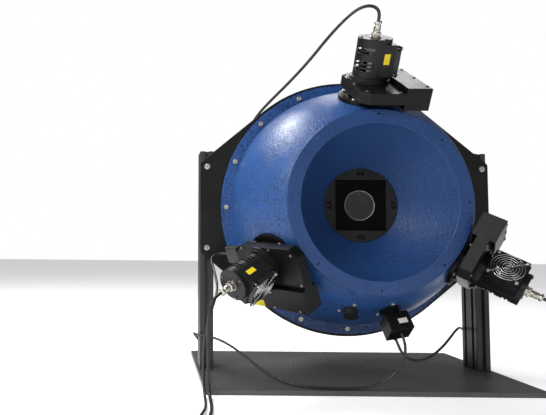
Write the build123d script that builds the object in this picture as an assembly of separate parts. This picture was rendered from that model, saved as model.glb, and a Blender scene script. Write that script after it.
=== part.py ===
from build123d import *
import math
import os

# An integrating sphere light source on an open frame. Lengths are millimetres, angles degrees.
# X runs to the right along the base, Y runs back, Z is up, and the origin is at the base's underside centre.

# Base plate with its grid of tapped holes
base_length = 650.0
base_depth = 400.0
base_thickness = 10.0
hole_pitch = 50.0
hole_diameter = 5.0
hole_edge_distance = 25.0
hole_chamfer = 1.0
plate_edge = 0.6

# Two upright slotted profiles
post_width = 30.0
post_depth = 60.0
post_height = 481.0
post_margin = 5.0
post_corner = 1.5
slot_opening = 8.4
slot_lip = 2.0
slot_undercut_width = 12.0
slot_undercut_depth = 4.5
core_bore = 8.0

# Mounting plate between the two half shells
plate_thickness = 8.0
plate_rim = 6.0
plate_front = -24.0
ear_half_height = 100.0
ear_corner_radius = 6.0
ear_screw_spacing = 180.0

# Sphere
sphere_height = 365.0
sphere_inner_radius = 250.0
shell_wall = 3.0
flange_radius = 275.0
flange_thickness = 6.0
flange_screw_circle = 527.0
flange_screw_count = 16
seat_gap = 0.1

# Front ring and funnel
ring_front = -227.0
ring_outer_radius = 175.0
ring_inner_radius = 148.5
ring_thickness = 5.0
ring_hole_circle = 332.0
ring_hole_diameter = 4.6
ring_hole_count = 8
ring_edge = 0.8
funnel_wall = 3.0
funnel_bow = 4.0
funnel_seat_wall = 4.0
funnel_seat_bore = 116.0

# Port disc and the plate in it
disc_radius = 75.6
disc_front = -124.0
disc_thickness = 12.0
disc_clearance = 0.4
recess_side = 104.0
recess_depth = 6.0
disc_window_side = 92.0
pocket_circle_radius = 65.5
pocket_length = 16.6
pocket_width = 8.8
pocket_depth = 5.0
pocket_slot_width = 4.6
aperture_plate_clearance = 0.2
aperture_plate_thickness = 3.0
aperture_diameter = 60.0
aperture_bevel = 2.4

# Lamp units: azimuth about the port axis from straight up, turn of the case on its axis,
# azimuth of the fan, and the hand of the case
lamp_elevation = 31.0
lamp_units = {
    "top": (0.0, 0.0, 0.0, -1),
    "right": (121.0, 175.0, 113.0, 1),
    "left": (-120.0, 200.0, 145.0, 1),
}

# Shutter case, measured from the lamp axis and along it from the sphere centre
case_back = 39.0
case_step = 42.0
case_end = 88.0
case_low = 59.0
case_high = 95.0
case_chamfer = 15.0
case_floor = 265.0
case_top = 287.0
case_edge = 0.6
block_floor = 255.0
block_top = 297.0
case_wall = 5.0
case_floor_wall = 4.0
cover_wall = 3.0
cover_screws = ((-34.5, -40.0), (-35.0, 30.0), (-27.0, 82.0), (33.0, 89.0),
                (33.0, -53.0), (83.5, 78.0), (83.5, 16.0), (83.5, -48.0))
screw_boss_radius = 3.5
light_bore = 46.0
neck_radius = 38.0
neck_flange_radius = 52.0
neck_flange_top = 256.0
neck_screw_circle = 92.0
shell_port_diameter = 54.0
inlet_size = (28.0, 4.0, 11.0)
inlet_along = -12.0
inlet_height = 276.0

# Swinging shutter vane on its flat motor
pivot_along = 65.0
pivot_across = 18.0
vane_radius = 26.0
vane_thickness = 1.5
vane_height = 275.0
vane_arm_width = 12.0
hub_radius = 7.0
hub_height = 6.0
shaft_radius = 2.5
shaft_clearance = 0.08
shaft_engagement = 8.0
motor_side = 29.0
motor_thickness = 16.0
motor_corner = 3.0

# Lamp housing
collar_radius = 40.0
collar_height = 5.0
step_radius = 37.0
step_height = 5.0
housing_radius = 32.0
housing_wall = 3.0
housing_end = 371.0
end_wall = 4.0
housing_edge = 0.8
vent_rows = ((312.0, 4.5), (319.5, 4.5), (327.0, 4.5), (345.0, 4.0), (352.0, 4.0))
vent_arcs = ((98.0, 146.0), (154.0, 206.0), (214.0, 262.0))
duct_stand = 1.0
duct_half_width = 31.0
duct_low = 299.5
duct_high = 362.0
duct_wall = 3.0
duct_boss_radius = 3.4
duct_boss_length = 9.0
cap_screw_radius = 27.0
cap_screw_count = 3
socket_flange_radius = 10.5
socket_flange_height = 2.0
socket_barrel_radius = 7.4
socket_barrel_height = 5.0

# Lamp in the housing
lamp_base_radius = 14.0
lamp_base_length = 24.0
lamp_glass_radius = 6.5
lamp_glass_length = 42.0

# Fan with its guard
fan_centre = 329.5
fan_side = 60.0
fan_depth = 10.0
fan_bore = 57.0
fan_flange = 2.2
fan_notch = 9.0
fan_hole_spacing = 50.0
fan_hole_diameter = 3.4
fan_hub_radius = 13.0
fan_strut_width = 3.0
fan_strut_count = 4
rotor_gap = 0.5
rotor_hub_radius = 12.5
rotor_radius = 27.5
rotor_depth = 6.5
blade_count = 7
blade_thickness = 1.2
blade_pitch = 35.0
blade_chord = 13.0
rotor_shaft_radius = 1.5
rotor_shaft_clearance = 0.08
guard_wire = 1.6
guard_rings = (28.0, 23.3, 18.6, 13.9, 9.2, 4.5)
guard_eye_radius = 3.4

# Lamp lead plug
plug_ring_radius = 9.5
plug_ring_length = 7.0
plug_body_radius = 6.8
plug_body_length = 14.0
plug_clamp_radius = 7.2
plug_clamp_length = 8.0
plug_clearance = 0.3

# Shutter lead hood on the left unit
hood_width = 36.0
hood_length = 32.0
hood_thickness = 16.0
hood_fillet = 2.5
thumb_screw_radius = 2.6
thumb_screw_length = 12.0

# Detector and the plugged port
detector_azimuth = 169.0
detector_elevation = 33.0
detector_flange_radius = 20.0
detector_flange_top = 256.0
detector_collar_radius = 18.0
detector_collar_top = 268.0
detector_width = 44.0
detector_depth = 46.0
detector_length = 36.0
detector_wall = 2.5
detector_edge = 0.8
detector_plate = 2.5
detector_bore = 20.0
gland_radius = 4.5
gland_height = 4.0
first_gland = (2.0, 10.0)
second_gland = (8.0, -12.0)
plugged_azimuth = 190.0
plugged_elevation = 33.0
plugged_bore = 24.0
plugged_cap_radius = 14.5
plugged_cap_height = 14.0
plugged_stem_length = 8.0
plugged_grip_count = 12
plugged_grip_radius = 1.2
port_screw_offset = 21.0
detector_screw_offset = 24.0
port_screw_angles = (90.0, 210.0, 330.0)

# Screws: head diameter, head height, socket across flats, shank diameter, length
frame_screw = (12.8, 5.0, 5.0, 7.8, 13.5)
flange_screw = (10.5, 3.3, 4.0, 6.0, 26.0)
port_screw = (7.6, 2.4, 2.5, 4.0, 10.0)
cover_screw = (5.6, 1.8, 2.0, 3.0, 8.0)
fan_screw = (5.6, 2.0, 2.0, 3.0, 17.0)
screw_clearance = 0.2
counterbore_clearance = 0.5
nut_flats = 10.0
nut_height = 5.0
slot_nut_width = 11.6
slot_nut_height = 16.0
slot_nut_thickness = 4.0

# Cables
lamp_lead = 6.0
signal_lead = 5.0
lead_gap = 0.3
lamp_lead_start = 14.0
signal_lead_start = 10.5
limp_turn = 0.45
far_plug_radius = 5.5
far_plug_length = 32.0
far_plug_pin_radius = 2.0
far_plug_pin_length = 14.0

# Places worked out from the sizes above
plate_back = plate_front + plate_thickness
sphere_radius = sphere_inner_radius + shell_wall
post_x = base_length / 2 - post_margin - post_width / 2
ear_half_width = post_x + post_width / 2
post_y = plate_back + post_depth / 2
ring_back = ring_front + ring_thickness
disc_back = disc_front + disc_thickness
front_centre = Vector(0, plate_front, sphere_height)
rear_centre = Vector(0, plate_back, sphere_height)
plug_end = housing_end + socket_flange_height + plug_ring_length + plug_body_length + plug_clamp_length
duct_reach = housing_radius + duct_stand
fan_back = duct_reach
fan_front = fan_back + fan_depth


def polar(radius, degrees):
    angle = math.radians(degrees)
    return radius * math.cos(angle), radius * math.sin(angle)


def axis_frame(azimuth, elevation):
    # The outward axis from the sphere centre, and the two directions across it:
    # one round the port axis and one towards the front
    around, up = math.radians(azimuth), math.radians(elevation)
    outward = Vector(math.sin(around) * math.cos(up), -math.sin(up), math.cos(around) * math.cos(up))
    sideways = Vector(math.cos(around), 0, -math.sin(around))
    forwards = Vector(-math.sin(around) * math.sin(up), -math.cos(up), -math.cos(around) * math.sin(up))
    return outward, sideways, forwards


def port_plane(azimuth, elevation, turn, tilt=0.0):
    # A plane at the sphere centre whose Z is the port's axis and whose X is turned round it
    outward, sideways, forwards = axis_frame(azimuth, elevation)
    across = sideways * math.cos(math.radians(turn)) + forwards * math.sin(math.radians(turn))
    lean = math.radians(tilt)
    tilted = outward * math.cos(lean) + across * math.sin(lean)
    along = across * math.cos(lean) - outward * math.sin(lean)
    return Plane(origin=front_centre, x_dir=along, z_dir=tilted)


def case_plane(unit):
    azimuth, turn = lamp_units[unit][:2]
    return port_plane(azimuth, lamp_elevation, turn)


def lamp_plane(unit):
    azimuth, fan_turn = lamp_units[unit][0], lamp_units[unit][2]
    return port_plane(azimuth, lamp_elevation, fan_turn)


def place(shape, plane):
    return plane.location * shape


def tube(outer, inner, low, high):
    ring = Cylinder(outer, high - low, align=(Align.CENTER, Align.CENTER, Align.MIN))
    if inner > 0:
        ring -= Cylinder(inner, high - low, align=(Align.CENTER, Align.CENTER, Align.MIN))
    return Pos(0, 0, low) * ring


def block(x0, x1, y0, y1, z0, z1):
    return Pos((x0 + x1) / 2, (y0 + y1) / 2, (z0 + z1) / 2) * Box(x1 - x0, y1 - y0, z1 - z0)


def screw(sizes):
    # The underside of the head is at the origin and the shank runs down
    head, height, flats, shank, length = sizes
    body = tube(head / 2, 0, 0, height)
    body = chamfer(body.edges().group_by(Axis.Z)[-1], height / 4)
    socket = RegularPolygon(flats / 2, 6, major_radius=False)
    body -= Pos(0, 0, height * 0.4) * extrude(socket, height)
    return body + tube(shank / 2, 0, -length, 0)


def turned(face):
    # A section drawn with X as radius and Y as depth, turned about the port axis
    return Pos(0, 0, sphere_height) * revolve(face, Axis.Y, 360)


def group(solids):
    return Compound(children=[s for shape in solids for s in shape.solids()])


def base_plate():
    plate = block(-base_length / 2, base_length / 2, -base_depth / 2, base_depth / 2, 0, base_thickness)
    columns = int((base_length - 2 * hole_edge_distance) / hole_pitch) + 1
    rows = int((base_depth - 2 * hole_edge_distance) / hole_pitch) + 1
    plate = chamfer(plate.edges().group_by(Axis.Z)[-1], plate_edge)
    drill = tube(hole_diameter / 2, 0, 0, base_thickness)
    cone = Cone(hole_diameter / 2, hole_diameter / 2 + hole_chamfer, hole_chamfer,
                align=(Align.CENTER, Align.CENTER, Align.MAX))
    drill += Pos(0, 0, base_thickness) * cone
    plate -= [drill.moved(Location(place_at)) for place_at in GridLocations(hole_pitch, hole_pitch, columns, rows)]
    head, height, _, shank, _ = frame_screw
    for x, y in post_screw_places():
        plate -= Pos(x, y, 0) * tube(shank / 2 + screw_clearance, 0, 0, base_thickness)
        plate -= Pos(x, y, 0) * tube(head / 2 + counterbore_clearance, 0, 0, height + counterbore_clearance)
    return plate


def post_screw_places():
    return [(side * post_x, post_y + row * post_depth / 4) for side in (-1, 1) for row in (-1, 1)]


def post(side):
    section = RectangleRounded(post_width, post_depth, post_corner)
    mouth = Rectangle(slot_lip * 2, slot_opening)
    pocket = Rectangle(slot_undercut_depth, slot_undercut_width)
    pocket = Pos(-slot_lip - slot_undercut_depth / 2, 0) * pocket
    slot = mouth + pocket
    for row in (-1, 1):
        y = row * post_depth / 4
        section -= Pos(post_width / 2, y) * slot
        section -= Pos(-post_width / 2, y) * Rot(0, 0, 180) * slot
        section -= Pos(0, row * post_depth / 2) * Rot(0, 0, row * 90) * slot
        section -= Pos(0, y) * Circle(core_bore / 2)
    return Pos(side * post_x, post_y, base_thickness) * extrude(section, post_height)


def ear_screw_places():
    return [(side * post_x, sphere_height + row * ear_screw_spacing / 2) for side in (-1, 1) for row in (-1, 1)]


def mounting_plate():
    rim = flange_radius + plate_rim
    corner = math.hypot(ear_half_width, ear_half_height)
    angle = math.degrees(math.atan2(ear_half_height, ear_half_width) + math.acos(rim / corner))
    tangent_x, tangent_z = polar(rim, angle)
    outline = Polygon((ear_half_width, ear_half_height), (tangent_x, tangent_z), (-tangent_x, tangent_z),
                      (-ear_half_width, ear_half_height), (-ear_half_width, -ear_half_height),
                      (-tangent_x, -tangent_z), (tangent_x, -tangent_z), (ear_half_width, -ear_half_height),
                      align=None)
    outline = fillet(outline.vertices().filter_by(lambda v: abs(v.X) > ear_half_width - 1), ear_corner_radius)
    outline = outline + Circle(rim) - Circle(sphere_inner_radius)
    plane = Plane(origin=(0, plate_back, sphere_height), x_dir=(1, 0, 0), z_dir=(0, -1, 0))
    plate = extrude(plane * outline, plate_thickness)
    plate = chamfer(plate.edges().group_by(Axis.Y)[0], plate_edge)
    clear = flange_screw[3] / 2 + screw_clearance
    plate -= [flange_drill(x, z, clear) for x, z in flange_screw_places()]
    ear_clear = frame_screw[3] / 2 + screw_clearance
    plate -= [front_drill(x, z, ear_clear, plate_front - 1, plate_back + 1) for x, z in ear_screw_places()]
    return plate


def flange_screw_places():
    step = 360 / flange_screw_count
    places = [polar(flange_screw_circle / 2, n * step) for n in range(flange_screw_count)]
    return [(x, sphere_height + z) for x, z in places]


def front_drill(x, z, radius, y0, y1):
    return Pos(x, (y0 + y1) / 2, z) * Rot(90, 0, 0) * Cylinder(radius, y1 - y0)


def flange_drill(x, z, radius):
    return front_drill(x, z, radius, plate_front - 2 * flange_thickness, plate_back + 2 * flange_thickness)


def half_shell(centre, low, high, flange_low):
    shell = Pos(*centre) * (Sphere(sphere_radius) - Sphere(sphere_inner_radius))
    reach = flange_radius + plate_rim
    keep = block(-reach, reach, low, high, sphere_height - reach, sphere_height + reach)
    shell &= keep
    flange = turned(Polygon((sphere_inner_radius + shell_wall / 2, flange_low),
                            (flange_radius, flange_low), (flange_radius, flange_low + flange_thickness),
                            (sphere_inner_radius + shell_wall / 2, flange_low + flange_thickness), align=None))
    flange -= Pos(*centre) * Sphere(sphere_inner_radius)
    shell += flange
    clear = flange_screw[3] / 2 + screw_clearance
    return shell - [flange_drill(x, z, clear) for x, z in flange_screw_places()]


def port_bore(azimuth, elevation, radius):
    return place(tube(radius, 0, sphere_radius - 4 * shell_wall, sphere_radius + shell_wall),
                 port_plane(azimuth, elevation, 0))


def front_shell():
    shell = half_shell(front_centre, ring_back, plate_front, plate_front - flange_thickness)
    for azimuth, _, _, _ in lamp_units.values():
        shell -= port_bore(azimuth, lamp_elevation, shell_port_diameter / 2)
    shell -= port_bore(detector_azimuth, detector_elevation, detector_bore / 2)
    shell -= port_bore(plugged_azimuth, plugged_elevation, plugged_bore / 2)
    hole = port_screw[3] / 2
    for plane in neck_screw_planes():
        shell -= place(tube(hole, 0, sphere_radius - 5 * shell_wall, sphere_radius), plane)
    for plane in surface_screw_planes():
        shell -= place(tube(hole, 0, sphere_radius - 5 * shell_wall, sphere_radius + 1), plane)
    return shell


def rear_shell():
    return half_shell(rear_centre, plate_back, plate_back + flange_radius, plate_back)


def neck_screw_planes():
    # Screws that hold each case's foot to the shell, parallel to the lamp axis
    planes = []
    for unit in lamp_units:
        base = case_plane(unit)
        for n in range(4):
            x, y = polar(neck_screw_circle / 2, 45 + 90 * n)
            planes.append(Plane(origin=base.from_local_coords((x, y, 0)), x_dir=base.x_dir, z_dir=base.z_dir))
    return planes


def surface_screw_planes():
    # Screws set square to the shell round the detector and the plugged port
    planes = []
    for azimuth, elevation, offset in ((detector_azimuth, detector_elevation, detector_screw_offset),
                                       (plugged_azimuth, plugged_elevation, port_screw_offset)):
        tilt = math.degrees(math.asin(offset / sphere_radius))
        planes += [port_plane(azimuth, elevation, turn, tilt) for turn in port_screw_angles]
    return planes


def port_funnel():
    end_radius = disc_radius + disc_clearance
    seat_back = disc_back + funnel_seat_wall
    slope = Vector(ring_inner_radius - end_radius, ring_front - disc_front).normalized()
    bow = Vector(-slope.Y, slope.X) * funnel_bow
    middle = Vector((ring_inner_radius + end_radius) / 2, (ring_front + disc_front) / 2) + bow
    wall = Vector(-slope.Y, slope.X) * funnel_wall
    outer_end = Vector(end_radius + funnel_wall, disc_front)
    outer_start = Vector(ring_inner_radius, ring_front) + wall * 1.3
    outer_start = Vector(outer_start.X, ring_back)
    section = make_face([
        Polyline((ring_inner_radius, ring_front + ring_edge), (ring_inner_radius + ring_edge, ring_front),
                 (ring_outer_radius - ring_edge, ring_front), (ring_outer_radius, ring_front + ring_edge),
                 (ring_outer_radius, ring_back), (outer_start.X, ring_back)),
        ThreePointArc((outer_start.X, ring_back), (middle.X + wall.X, middle.Y + wall.Y),
                      (outer_end.X, outer_end.Y)),
        Polyline((outer_end.X, outer_end.Y), (outer_end.X, seat_back), (funnel_seat_bore / 2, seat_back),
                 (funnel_seat_bore / 2, disc_back), (end_radius, disc_back), (end_radius, disc_front)),
        ThreePointArc((end_radius, disc_front), (middle.X, middle.Y), (ring_inner_radius, ring_front + ring_edge)),
    ])
    funnel = turned(section)
    for n in range(ring_hole_count):
        x, z = polar(ring_hole_circle / 2, n * 360 / ring_hole_count)
        funnel -= front_drill(x, sphere_height + z, ring_hole_diameter / 2, ring_front - 1, ring_back + 1)
    for x, z in disc_screw_places():
        funnel -= front_drill(x, z, port_screw[3] / 2, disc_back - 1, seat_back + 1)
    return funnel


def disc_screw_places():
    places = [polar(pocket_circle_radius, 90 * n) for n in range(4)]
    return [(x, sphere_height + z) for x, z in places]


def port_disc():
    plane = Plane(origin=(0, disc_back, sphere_height), x_dir=(1, 0, 0), z_dir=(0, -1, 0))
    disc = extrude(Circle(disc_radius), disc_thickness)
    disc = chamfer(disc.edges().group_by(Axis.Z)[-1], 0.5)
    disc -= extrude(Rectangle(disc_window_side, disc_window_side), disc_thickness)
    recess = recess_depth + aperture_plate_thickness
    disc -= Pos(0, 0, disc_thickness - recess) * extrude(Rectangle(recess_side, recess_side), recess)
    pocket = extrude(SlotOverall(pocket_length, pocket_width, rotation=90), pocket_depth)
    slit = extrude(SlotOverall(pocket_length - pocket_width + pocket_slot_width, pocket_slot_width, rotation=90),
                   disc_thickness)
    for n in range(4):
        turn = Rot(0, 0, 90 * n)
        disc -= turn * Pos(pocket_circle_radius, 0, disc_thickness - pocket_depth) * pocket
        disc -= turn * Pos(pocket_circle_radius, 0, 0) * slit
    return place(disc, plane)


def aperture_plate():
    side = recess_side - 2 * aperture_plate_clearance
    back = disc_front + recess_depth + aperture_plate_thickness
    plane = Plane(origin=(0, back, sphere_height), x_dir=(1, 0, 0), z_dir=(0, -1, 0))
    plate = extrude(Rectangle(side, side), aperture_plate_thickness)
    plate -= extrude(Circle(aperture_diameter / 2), aperture_plate_thickness)
    bevel = Cone(aperture_diameter / 2, aperture_diameter / 2 + aperture_bevel, aperture_bevel,
                 align=(Align.CENTER, Align.CENTER, Align.MAX))
    plate -= Pos(0, 0, aperture_plate_thickness) * bevel
    return place(plate, plane)


def flange_screws():
    solids = []
    nut = extrude(RegularPolygon(nut_flats / 2, 6, major_radius=False), nut_height)
    nut -= tube(flange_screw[3] / 2, 0, 0, nut_height)
    for x, z in flange_screw_places():
        head = Plane(origin=(x, plate_front - flange_thickness, z), x_dir=(1, 0, 0), z_dir=(0, -1, 0))
        back = Plane(origin=(x, plate_back + flange_thickness, z), x_dir=(1, 0, 0), z_dir=(0, 1, 0))
        solids += [place(screw(flange_screw), head), place(nut, back)]
    return group(solids)


def frame_screws():
    solids = []
    nut = Box(slot_nut_width, slot_nut_thickness, slot_nut_height)
    nut -= Rot(90, 0, 0) * Cylinder(frame_screw[3] / 2, slot_nut_thickness)
    for x, z in ear_screw_places():
        head = Plane(origin=(x, plate_front, z), x_dir=(1, 0, 0), z_dir=(0, -1, 0))
        nut_y = plate_back + slot_lip + slot_nut_thickness / 2
        solids += [place(screw(frame_screw), head), Pos(x, nut_y, z) * nut]
    seat = frame_screw[1] + counterbore_clearance
    for x, y in post_screw_places():
        below = Plane(origin=(x, y, seat), x_dir=(1, 0, 0), z_dir=(0, 0, -1))
        solids.append(place(screw(frame_screw), below))
    return group(solids)


def port_screws():
    solids = []
    pocket_floor = disc_front + pocket_depth
    for x, z in disc_screw_places():
        head = Plane(origin=(x, pocket_floor, z), x_dir=(1, 0, 0), z_dir=(0, -1, 0))
        solids.append(place(screw(port_screw), head))
    solids += [place(Pos(0, 0, neck_flange_top) * screw(port_screw), plane) for plane in neck_screw_planes()]
    solids += [place(Pos(0, 0, sphere_radius) * screw(port_screw), plane) for plane in surface_screw_planes()]
    return group(solids)


def cover_screw_set():
    solids = []
    for unit, (_, _, _, hand) in lamp_units.items():
        plane = case_plane(unit)
        for x, y in cover_screws:
            seat = block_top if x > case_step else case_top
            solids.append(place(Pos(x, hand * y, seat) * screw(cover_screw), plane))
        for n in range(cap_screw_count):
            x, y = polar(cap_screw_radius, 60 + n * 360 / cap_screw_count)
            solids.append(place(Pos(x, y, housing_end) * screw(cover_screw), lamp_plane(unit)))
    return group(solids)


def fan_screws():
    solids = []
    for unit in lamp_units:
        for x, y in fan_hole_places():
            head = Pos(fan_front + guard_wire, x, fan_centre + y) * Rot(0, 90, 0) * screw(fan_screw)
            solids.append(place(head, lamp_plane(unit)))
    return group(solids)


def fan_hole_places():
    half = fan_hole_spacing / 2
    return [(x, y) for x in (-half, half) for y in (-half, half)]


def case_outline(inset, right):
    x0, y0, y1 = -case_back + inset, -case_low + inset, case_high - inset
    cut = case_chamfer - inset * (2 - math.sqrt(2))
    return Polygon((x0 + cut, y0), (right, y0), (right, y1), (x0 + cut, y1), (x0, y1 - cut), (x0, y0 + cut),
                   align=None)


def attenuator_case(hand):
    top, lid = case_top - cover_wall, block_top - cover_wall
    case = Pos(0, 0, case_floor) * extrude(case_outline(0, case_step + case_wall), top - case_floor)
    case += block(case_step, case_end, -case_low, case_high, block_floor, lid)
    case = chamfer(case.edges().group_by(Axis.Z)[0], case_edge)
    wall_low, wall_high = case_wall - case_low, case_high - case_wall
    hollow = block(case_step + case_wall, case_end - case_wall, wall_low, wall_high,
                   block_floor + case_floor_wall, lid)
    inside = case_outline(case_wall, case_step + 2 * case_wall)
    hollow += Pos(0, 0, case_floor + case_floor_wall) * extrude(inside, lid - case_floor - case_floor_wall)
    case -= hollow
    case -= block(-case_back, case_step + cover_wall, -case_low, case_high, top, lid + 1)
    for x, y in cover_screws:
        foot, head = (block_floor, lid) if x > case_step else (case_floor, top)
        case += Pos(x, y, 0) * tube(screw_boss_radius, 0, foot, head)
    case += tube(neck_radius, 0, sphere_radius - 3 * shell_wall, case_floor)
    case += tube(neck_flange_radius, 0, sphere_radius - 3 * shell_wall, neck_flange_top)
    length, depth, height = inlet_size
    case += block(inlet_along - length / 2, inlet_along + length / 2, -case_low - depth, -case_low,
                  inlet_height - height / 2, inlet_height + height / 2)
    case -= Sphere(sphere_radius + seat_gap)
    case -= tube(light_bore / 2, 0, sphere_radius - 5 * shell_wall, case_top)
    for x, y in cover_screws:
        seat = block_top if x > case_step else case_top
        case -= Pos(x, y, 0) * tube(cover_screw[3] / 2, 0, seat - cover_screw[4], seat)
    for n in range(4):
        x, y = polar(neck_screw_circle / 2, 45 + 90 * n)
        case -= Pos(x, y, 0) * tube(port_screw[3] / 2 + screw_clearance, 0,
                                    sphere_radius - 5 * shell_wall, neck_flange_top)
        case -= Pos(x, y, 0) * tube(port_screw[0] / 2 + screw_clearance, 0, neck_flange_top, case_floor)
    return case if hand > 0 else mirror(case, Plane.XZ)


def attenuator_cover(hand):
    top, lid = case_top - cover_wall, block_top - cover_wall
    cover = Pos(0, 0, top) * extrude(case_outline(0, case_step + cover_wall), cover_wall)
    cover += block(case_step, case_step + cover_wall, -case_low, case_high, top, block_top)
    cover += block(case_step, case_end, -case_low, case_high, lid, block_top)
    cover = chamfer(cover.edges().group_by(Axis.Z)[-1], case_edge)
    cover -= tube(light_bore / 2, 0, top - 1, case_top + 1)
    for x, y in cover_screws:
        cover -= Pos(x, y, 0) * tube(cover_screw[3] / 2 + screw_clearance, 0, top, block_top)
    return cover if hand > 0 else mirror(cover, Plane.XZ)


def shutter_vane(hand):
    reach = math.hypot(pivot_along, pivot_across)
    angle = math.degrees(math.atan2(-pivot_across, -pivot_along))
    vane = extrude(Circle(vane_radius), vane_thickness)
    arm = Pos(-reach / 2, 0) * Rectangle(reach, vane_arm_width)
    arm = Pos(pivot_along, pivot_across) * Rot(0, 0, angle - 180) * arm
    vane += extrude(arm, vane_thickness)
    vane = Pos(0, 0, vane_height) * vane
    hub_low = vane_height + vane_thickness - hub_height
    shaft_top = motor_floor() + shaft_engagement
    pivot = tube(hub_radius, 0, hub_low, vane_height + vane_thickness) + tube(shaft_radius, 0, hub_low, shaft_top)
    vane += Pos(pivot_along, pivot_across, 0) * pivot
    return vane if hand > 0 else mirror(vane, Plane.XZ)


def motor_floor():
    return block_top - cover_wall - motor_thickness


def shutter_motor(hand):
    half = motor_side / 2
    motor = block(-half, half, -half, half, motor_floor(), block_top - cover_wall)
    motor = chamfer(motor.edges().filter_by(Axis.Z), motor_corner)
    motor -= tube(shaft_radius + shaft_clearance, 0, motor_floor(), motor_floor() + shaft_engagement + 1)
    motor = Pos(pivot_along, pivot_across, 0) * motor
    return motor if hand > 0 else mirror(motor, Plane.XZ)


def vent_cutter():
    sectors = []
    for start, stop in vent_arcs:
        middle, reach = (start + stop) / 2, 2 * housing_radius
        wedge = Polygon((0, 0), polar(reach, start), polar(reach, middle), polar(reach, stop), align=None)
        ring = Circle(housing_radius + 1) - Circle(housing_radius - housing_wall - 1)
        sectors.append(ring & wedge)
    cutter = []
    for height, opening in vent_rows:
        cutter += [Pos(0, 0, height - opening / 2) * extrude(sector, opening) for sector in sectors]
    return cutter


def lamp_housing():
    collar_top = case_top + collar_height
    step_top = collar_top + step_height
    housing = tube(collar_radius, 0, case_top, collar_top)
    housing += tube(step_radius, 0, collar_top, step_top)
    housing += tube(housing_radius, 0, step_top, housing_end)
    housing = chamfer(housing.edges().group_by(Axis.Z)[-1], housing_edge)
    housing += block(0, duct_reach, -duct_half_width, duct_half_width, duct_low, duct_high)
    inner = housing_radius - housing_wall
    housing -= tube(inner, 0, step_top, housing_end - end_wall)
    housing -= block(0, duct_reach, duct_wall - duct_half_width, duct_half_width - duct_wall,
                     duct_low + duct_wall, duct_high - duct_wall)
    housing -= tube(light_bore / 2, 0, case_top, step_top)
    housing -= vent_cutter()
    housing += fan_drills(duct_reach - duct_boss_length, duct_reach, duct_boss_radius)
    housing += tube(socket_flange_radius, 0, housing_end, housing_end + socket_flange_height)
    barrel_top = housing_end + socket_flange_height + socket_barrel_height
    housing += tube(socket_barrel_radius, 0, housing_end, barrel_top)
    for n in range(cap_screw_count):
        x, y = polar(cap_screw_radius, 60 + n * 360 / cap_screw_count)
        housing -= Pos(x, y, 0) * tube(cover_screw[3] / 2, 0, housing_end - cover_screw[4], housing_end)
    return housing - fan_drills(duct_reach - fan_screw[4] / 3, duct_reach)


def fan_drills(x0, x1, radius=None):
    radius = radius or fan_screw[3] / 2
    drill = Rot(0, 90, 0) * Cylinder(radius, x1 - x0)
    return [Pos((x0 + x1) / 2, y, fan_centre + z) * drill for y, z in fan_hole_places()]


def lamp():
    base_low = housing_end - end_wall - lamp_base_length
    glass = tube(lamp_glass_radius, 0, base_low - lamp_glass_length, base_low)
    glass = fillet(glass.edges().group_by(Axis.Z)[0], lamp_glass_radius * 0.8)
    return glass + tube(lamp_base_radius, 0, base_low, housing_end - end_wall)


def facing_fan(shape):
    # Fan pieces are drawn with Z as the fan's axis and moved onto the duct
    return Pos(fan_back, 0, fan_centre) * Rot(0, 90, 0) * shape


def fan_frame():
    half = fan_side / 2
    frame = block(-half, half, -half, half, 0, fan_depth)
    frame = fillet(frame.edges().filter_by(Axis.Z), fan_flange)
    frame -= tube(fan_bore / 2, 0, 0, fan_depth)
    for x in (-1, 1):
        for y in (-1, 1):
            notch = Box(fan_notch, fan_notch, fan_depth - 2 * fan_flange)
            frame -= Pos(x * (half - fan_notch / 2), y * (half - fan_notch / 2), fan_depth / 2) * notch
    frame += tube(fan_hub_radius, 0, 0, fan_flange)
    for n in range(fan_strut_count):
        strut = block(fan_hub_radius - 1, fan_bore / 2 + 1, -fan_strut_width / 2, fan_strut_width / 2, 0, fan_flange)
        frame += Rot(0, 0, 45 + n * 360 / fan_strut_count) * strut
    frame -= tube(rotor_shaft_radius + rotor_shaft_clearance, 0, 0, fan_flange)
    for x, y in fan_hole_places():
        frame -= Pos(x, y, 0) * tube(fan_hole_diameter / 2, 0, 0, fan_depth)
    return facing_fan(frame)


def fan_rotor():
    low = fan_flange + rotor_gap
    rotor = tube(rotor_hub_radius, 0, low, low + rotor_depth)
    middle = low + rotor_depth / 2
    length = rotor_radius - rotor_hub_radius + 2
    blade = Box(length, blade_chord, blade_thickness)
    blade = Pos(rotor_hub_radius - 2 + length / 2, 0, middle) * Rot(blade_pitch, 0, 0) * blade
    rotor += [Rot(0, 0, n * 360 / blade_count) * blade for n in range(blade_count)]
    rotor &= tube(rotor_radius, 0, low, low + rotor_depth)
    rotor += tube(rotor_shaft_radius, 0, rotor_gap, low)
    return facing_fan(rotor)


def fan_guard():
    half = guard_wire / 2
    guard = tube(guard_rings[0] + half, guard_rings[0] - half, 0, guard_wire)
    for radius in guard_rings[1:]:
        guard += tube(radius + half, radius - half, 0, guard_wire)
    reach = fan_hole_spacing / math.sqrt(2)
    for turn in (45, 135):
        guard += Rot(0, 0, turn) * block(-reach, reach, -half, half, 0, guard_wire)
    for x, y in fan_hole_places():
        guard += Pos(x, y, 0) * tube(guard_eye_radius, 0, 0, guard_wire)
    for x, y in fan_hole_places():
        guard -= Pos(x, y, 0) * tube(fan_hole_diameter / 2, 0, 0, guard_wire)
    return facing_fan(Pos(0, 0, fan_depth) * guard)


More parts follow.
